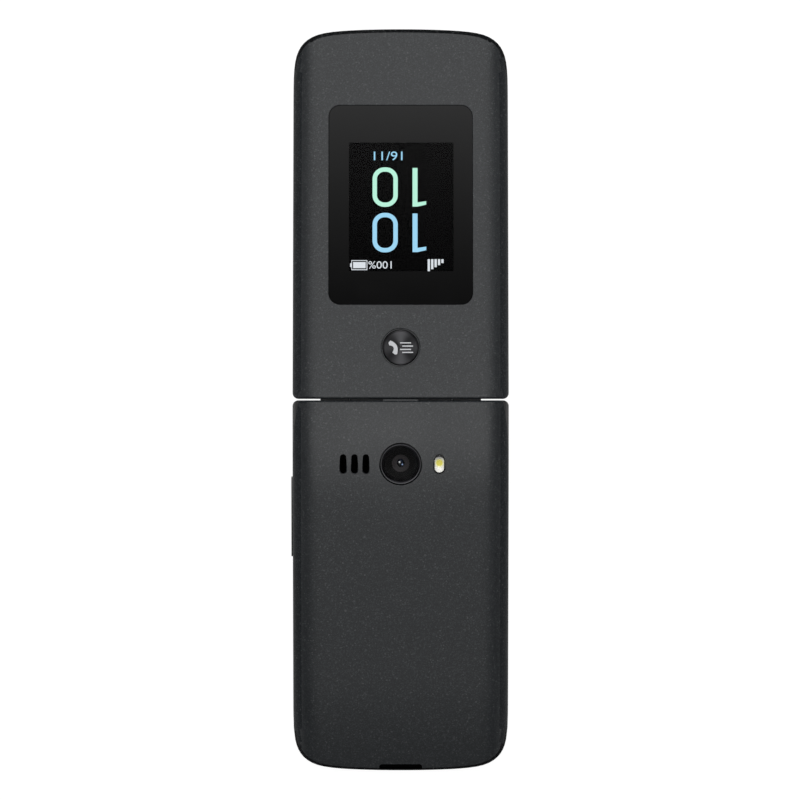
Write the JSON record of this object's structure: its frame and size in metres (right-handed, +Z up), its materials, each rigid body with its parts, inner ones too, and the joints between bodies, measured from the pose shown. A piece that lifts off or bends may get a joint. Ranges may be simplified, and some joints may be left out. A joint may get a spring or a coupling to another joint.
{
  "type": "flip phone",
  "caption": "Clamshell mobile phone opened to its stop, with an outer window and round quick key on the lid, a camera, flash and slots on the back, and a keypad inside.",
  "frame": {"origin": "middle of the footprint on the table, under the hinge, with the phone open at its stop and lying face down", "axes": "+Z up, out of the backs of both halves; +Y from the hinge towards the lid's free end; +X towards the side opposite the volume key"},
  "size_m": [0.0586, 0.201, 0.0261],
  "materials": {
    "shell_paint": "fine dark grey metallic paint, satin",
    "frame_plastic": "black moulded plastic, fine matt grain",
    "window_gloss": "smoked clear plastic, polished",
    "display_module": "display panel with metal frame",
    "key_plastic": "dark moulded keys with printed numbers",
    "key_metal": "spun dark metal",
    "steel": "plain steel",
    "alloy": "cast light alloy",
    "board": "glass-fibre board with green solder mask",
    "battery_wrap": "wrapped lithium cell",
    "contact_gold": "gold-plated contacts",
    "flex_film": "amber polyimide film",
    "rubber_black": "soft black rubber",
    "camera_glass": "coated glass",
    "flash_clear": "clear moulded lens over a yellow phosphor",
    "dome_film": "white film with snap domes"
  },
  "bodies": {
    "phone_body": {"hinge_cartridge": "steel", "hinge_flex": "flex_film", "keypad_shell": "frame_plastic", "rear_housing": "frame_plastic", "battery": "battery_wrap", "battery_contacts": "contact_gold", "main_board": "board", "dome_sheet": "dome_film", "volume_switch": "dome_film", "camera_module": "frame_plastic", "camera_ring": "frame_plastic", "camera_window": "camera_glass", "flash_led": "flash_clear", "flash_lens": "flash_clear", "loudspeaker": "frame_plastic", "speaker_mesh": "steel", "usb_port": "steel", "sim_holder": "steel", "vibration_motor": "steel", "microphone": "steel", "body_screws": "steel"},
    "lid": {"lid_outer_shell": "shell_paint", "lid_inner_shell": "frame_plastic", "lid_chassis": "alloy", "sub_display_lens": "window_gloss", "sub_display_panel": "display_module", "main_display_lens": "window_gloss", "main_display_panel": "display_module", "earpiece": "frame_plastic", "earpiece_mesh": "steel", "quick_key_switch": "steel", "lid_board": "board", "lid_magnet": "steel", "lid_bumpers": "rubber_black", "lid_screws": "steel", "hinge_shaft": "steel", "hinge_bush": "steel"},
    "soft_key_left": {"soft_key_left": "key_plastic"},
    "soft_key_right": {"soft_key_right": "key_plastic"},
    "nav_ring": {"nav_ring": "key_metal"},
    "ok_key": {"ok_key": "key_plastic"},
    "call_key": {"call_key": "key_plastic"},
    "back_key": {"back_key": "key_plastic"},
    "end_key": {"end_key": "key_plastic"},
    "key_1": {"key_1": "key_plastic"},
    "key_2": {"key_2": "key_plastic"},
    "key_3": {"key_3": "key_plastic"},
    "key_4": {"key_4": "key_plastic"},
    "key_5": {"key_5": "key_plastic"},
    "key_6": {"key_6": "key_plastic"},
    "key_7": {"key_7": "key_plastic"},
    "key_8": {"key_8": "key_plastic"},
    "key_9": {"key_9": "key_plastic"},
    "key_star": {"key_star": "key_plastic"},
    "key_0": {"key_0": "key_plastic"},
    "key_hash": {"key_hash": "key_plastic"},
    "quick_key": {"quick_key": "key_metal"},
    "volume_key": {"volume_key": "frame_plastic"},
    "battery_cover": {"battery_cover": "shell_paint"}
  },
  "joints": [
    {"name": "lid_hinge", "type": "hinge", "parent": "phone_body", "child": "lid", "pos_m": [0, 0, 0.01722], "axis": [-1, 0, 0], "range_deg": [0, 160]},
    {"name": "quick_key_press", "type": "slide", "parent": "lid", "child": "quick_key", "axis": [0, -0.1736, -0.9848], "range_m": [0, 0.0003], "stiffness_N_per_m": 1000},
    {"name": "soft_key_left_press", "type": "slide", "parent": "phone_body", "child": "soft_key_left", "axis": [0, -0.1736, 0.9848], "range_m": [0, 0.0003], "stiffness_N_per_m": 1000},
    {"name": "soft_key_right_press", "type": "slide", "parent": "phone_body", "child": "soft_key_right", "axis": [0, -0.1736, 0.9848], "range_m": [0, 0.0003], "stiffness_N_per_m": 1000},
    {"name": "nav_ring_press", "type": "slide", "parent": "phone_body", "child": "nav_ring", "axis": [0, -0.1736, 0.9848], "range_m": [0, 0.0003], "stiffness_N_per_m": 1000},
    {"name": "ok_key_press", "type": "slide", "parent": "phone_body", "child": "ok_key", "axis": [0, -0.1736, 0.9848], "range_m": [0, 0.0003], "stiffness_N_per_m": 1000},
    {"name": "call_key_press", "type": "slide", "parent": "phone_body", "child": "call_key", "axis": [0, -0.1736, 0.9848], "range_m": [0, 0.0003], "stiffness_N_per_m": 1000},
    {"name": "back_key_press", "type": "slide", "parent": "phone_body", "child": "back_key", "axis": [0, -0.1736, 0.9848], "range_m": [0, 0.0003], "stiffness_N_per_m": 1000},
    {"name": "end_key_press", "type": "slide", "parent": "phone_body", "child": "end_key", "axis": [0, -0.1736, 0.9848], "range_m": [0, 0.0003], "stiffness_N_per_m": 1000},
    {"name": "key_1_press", "type": "slide", "parent": "phone_body", "child": "key_1", "axis": [0, -0.1736, 0.9848], "range_m": [0, 0.0003], "stiffness_N_per_m": 1000},
    {"name": "key_2_press", "type": "slide", "parent": "phone_body", "child": "key_2", "axis": [0, -0.1736, 0.9848], "range_m": [0, 0.0003], "stiffness_N_per_m": 1000},
    {"name": "key_3_press", "type": "slide", "parent": "phone_body", "child": "key_3", "axis": [0, -0.1736, 0.9848], "range_m": [0, 0.0003], "stiffness_N_per_m": 1000},
    {"name": "key_4_press", "type": "slide", "parent": "phone_body", "child": "key_4", "axis": [0, -0.1736, 0.9848], "range_m": [0, 0.0003], "stiffness_N_per_m": 1000},
    {"name": "key_5_press", "type": "slide", "parent": "phone_body", "child": "key_5", "axis": [0, -0.1736, 0.9848], "range_m": [0, 0.0003], "stiffness_N_per_m": 1000},
    {"name": "key_6_press", "type": "slide", "parent": "phone_body", "child": "key_6", "axis": [0, -0.1736, 0.9848], "range_m": [0, 0.0003], "stiffness_N_per_m": 1000},
    {"name": "key_7_press", "type": "slide", "parent": "phone_body", "child": "key_7", "axis": [0, -0.1736, 0.9848], "range_m": [0, 0.0003], "stiffness_N_per_m": 1000},
    {"name": "key_8_press", "type": "slide", "parent": "phone_body", "child": "key_8", "axis": [0, -0.1736, 0.9848], "range_m": [0, 0.0003], "stiffness_N_per_m": 1000},
    {"name": "key_9_press", "type": "slide", "parent": "phone_body", "child": "key_9", "axis": [0, -0.1736, 0.9848], "range_m": [0, 0.0003], "stiffness_N_per_m": 1000},
    {"name": "key_star_press", "type": "slide", "parent": "phone_body", "child": "key_star", "axis": [0, -0.1736, 0.9848], "range_m": [0, 0.0003], "stiffness_N_per_m": 1000},
    {"name": "key_0_press", "type": "slide", "parent": "phone_body", "child": "key_0", "axis": [0, -0.1736, 0.9848], "range_m": [0, 0.0003], "stiffness_N_per_m": 1000},
    {"name": "key_hash_press", "type": "slide", "parent": "phone_body", "child": "key_hash", "axis": [0, -0.1736, 0.9848], "range_m": [0, 0.0003], "stiffness_N_per_m": 1000},
    {"name": "volume_key_rock", "type": "hinge", "parent": "phone_body", "child": "volume_key", "pos_m": [-0.027, -0.03149, 0.01497], "axis": [0, -0.1736, 0.9848], "range_deg": [-1.2, 1.2], "stiffness_Nm_per_rad": 0.3},
    {"name": "battery_cover_lift", "type": "slide", "parent": "phone_body", "child": "battery_cover", "axis": [0, -0.1736, 0.9848], "range_m": [0, 0.012]}
  ]
}
